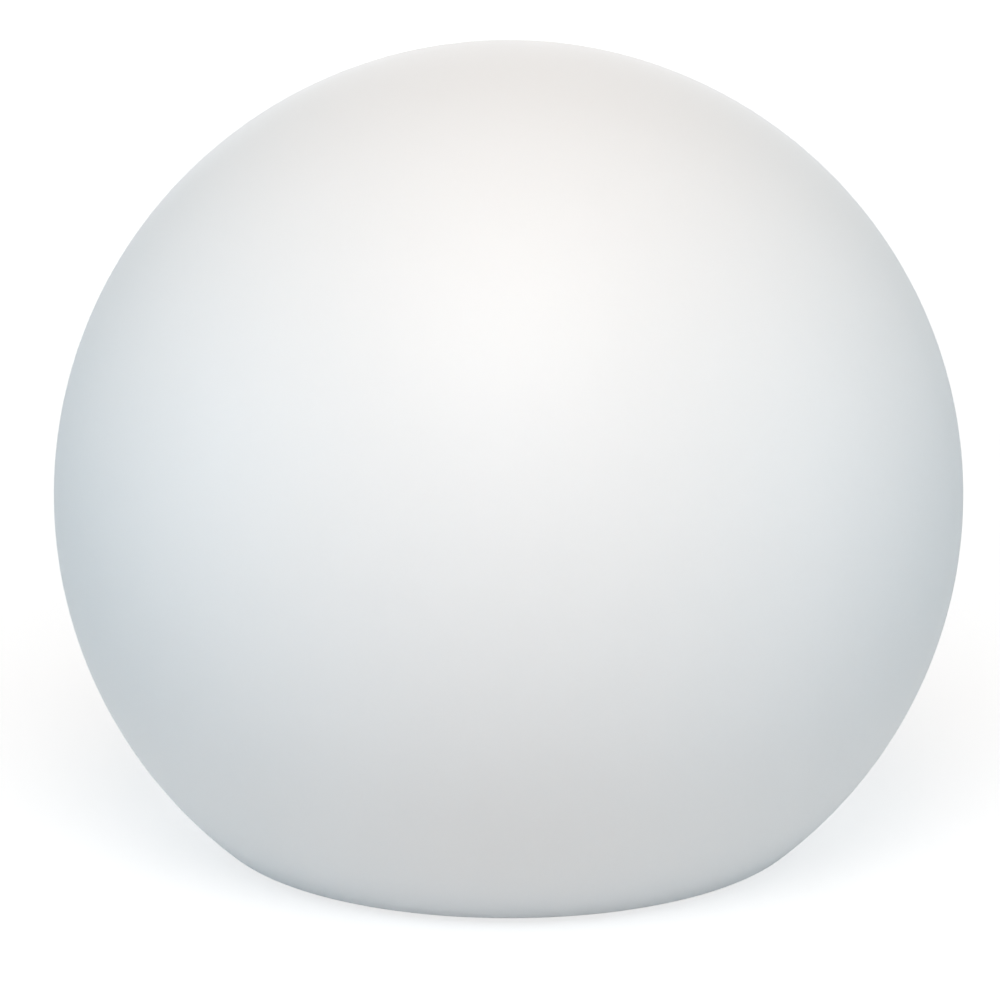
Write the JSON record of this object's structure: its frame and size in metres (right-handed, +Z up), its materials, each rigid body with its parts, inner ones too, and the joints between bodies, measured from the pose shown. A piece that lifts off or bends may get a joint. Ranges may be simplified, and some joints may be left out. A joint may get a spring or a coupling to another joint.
{
  "type": "garden globe light",
  "caption": "Cordless garden globe light: a hollow white ball on a flat foot with a twist-lock LED and battery module in its base.",
  "frame": {"origin": "on the ground under the middle of the ball, at the middle of the foot", "axes": "+Z up along the axis of the ball and its neck; the front faces -Y"},
  "size_m": [0.3999, 0.4, 0.355],
  "materials": {
    "shell": "satin white polyethylene",
    "foot_rubber": "matt grey",
    "black_rubber": "matt",
    "grey_silicone": "matt",
    "black_foam": "open-faced foam",
    "cap_rubber": "matt",
    "grey_nylon": "fine grain",
    "base_plastic": "fine spark-eroded grain",
    "button_plastic": "satin",
    "brass": "turned",
    "stainless": "bright",
    "board_green": "solder resist",
    "board_white": "white solder resist",
    "led_white": "white package, yellow phosphor",
    "chip_black": "matt",
    "ferrite": "matt",
    "can_metal": "bright",
    "plug_white": "natural nylon",
    "tray_black": "fine grain",
    "cell_sleeve": "shrink sleeve over a metal can",
    "nickel": "bright",
    "lead_red": "gloss",
    "lead_white": "gloss",
    "plate_aluminium": "as rolled",
    "cover_opal": "opal",
    "clear_pipe": "polished clear rod",
    "indicator": "clear lens",
    "plunger_white": "smooth"
  },
  "bodies": {
    "globe": {"globe_shell": "shell", "shell_inserts": "brass", "foot_pads": "foot_rubber", "neck_collar": "grey_nylon", "collar_gasket": "black_foam", "collar_screws": "stainless"},
    "seal_ring": {"module_seal": "grey_silicone"},
    "module": {"module_base": "base_plastic", "light_pipe": "clear_pipe", "charge_socket": "chip_black", "cap_strap": "cap_rubber", "control_board": "board_green", "tact_switch": "chip_black", "indicator_led": "indicator", "control_chips": "chip_black", "power_coil": "ferrite", "capacitors": "can_metal", "board_sockets": "plug_white", "board_spacers": "brass", "battery_tray": "tray_black", "tray_screws": "stainless", "battery_cells": "cell_sleeve", "battery_tabs": "nickel", "battery_clamp": "tray_black", "clamp_screws": "stainless", "battery_leads": "lead_red", "heat_plate": "plate_aluminium", "led_board": "board_white", "led_board_screws": "stainless", "led_chips": "led_white", "remote_receiver": "chip_black", "led_leads": "lead_white", "cover_gasket": "black_rubber", "light_cover": "cover_opal", "cover_screws": "stainless"},
    "power_button": {"power_button": "button_plastic", "button_seal": "black_rubber"},
    "switch_plunger": {"switch_plunger": "plunger_white"},
    "charge_cap": {"charge_cap": "cap_rubber"}
  },
  "joints": [
    {"name": "module_drop", "type": "slide", "parent": "globe", "child": "seal_ring", "axis": [0, 0, -1], "range_m": [0, 0.0031]},
    {"name": "module_twist", "type": "hinge", "parent": "seal_ring", "child": "module", "pos_m": [0, 0, 0.0035], "axis": [0, 0, -1], "range_deg": [0, 45]},
    {"name": "power_press", "type": "slide", "parent": "module", "child": "power_button", "axis": [0, 0, 1], "range_m": [0, 0.0008], "stiffness_N_per_m": 1500},
    {"name": "plunger_press", "type": "slide", "parent": "module", "child": "switch_plunger", "axis": [0, 0, 1], "range_m": [0, 0.0008]},
    {"name": "cap_flap", "type": "hinge", "parent": "module", "child": "charge_cap", "pos_m": [0.04, 0.012, 0.0037], "axis": [1, 0, 0], "range_deg": [0, 120]}
  ],
  "couplings": [
    {"joint": "module_drop", "follows": "module_twist", "m_per_rad": 0.0038197},
    {"joint": "plunger_press", "follows": "power_press", "ratio": 1}
  ]
}
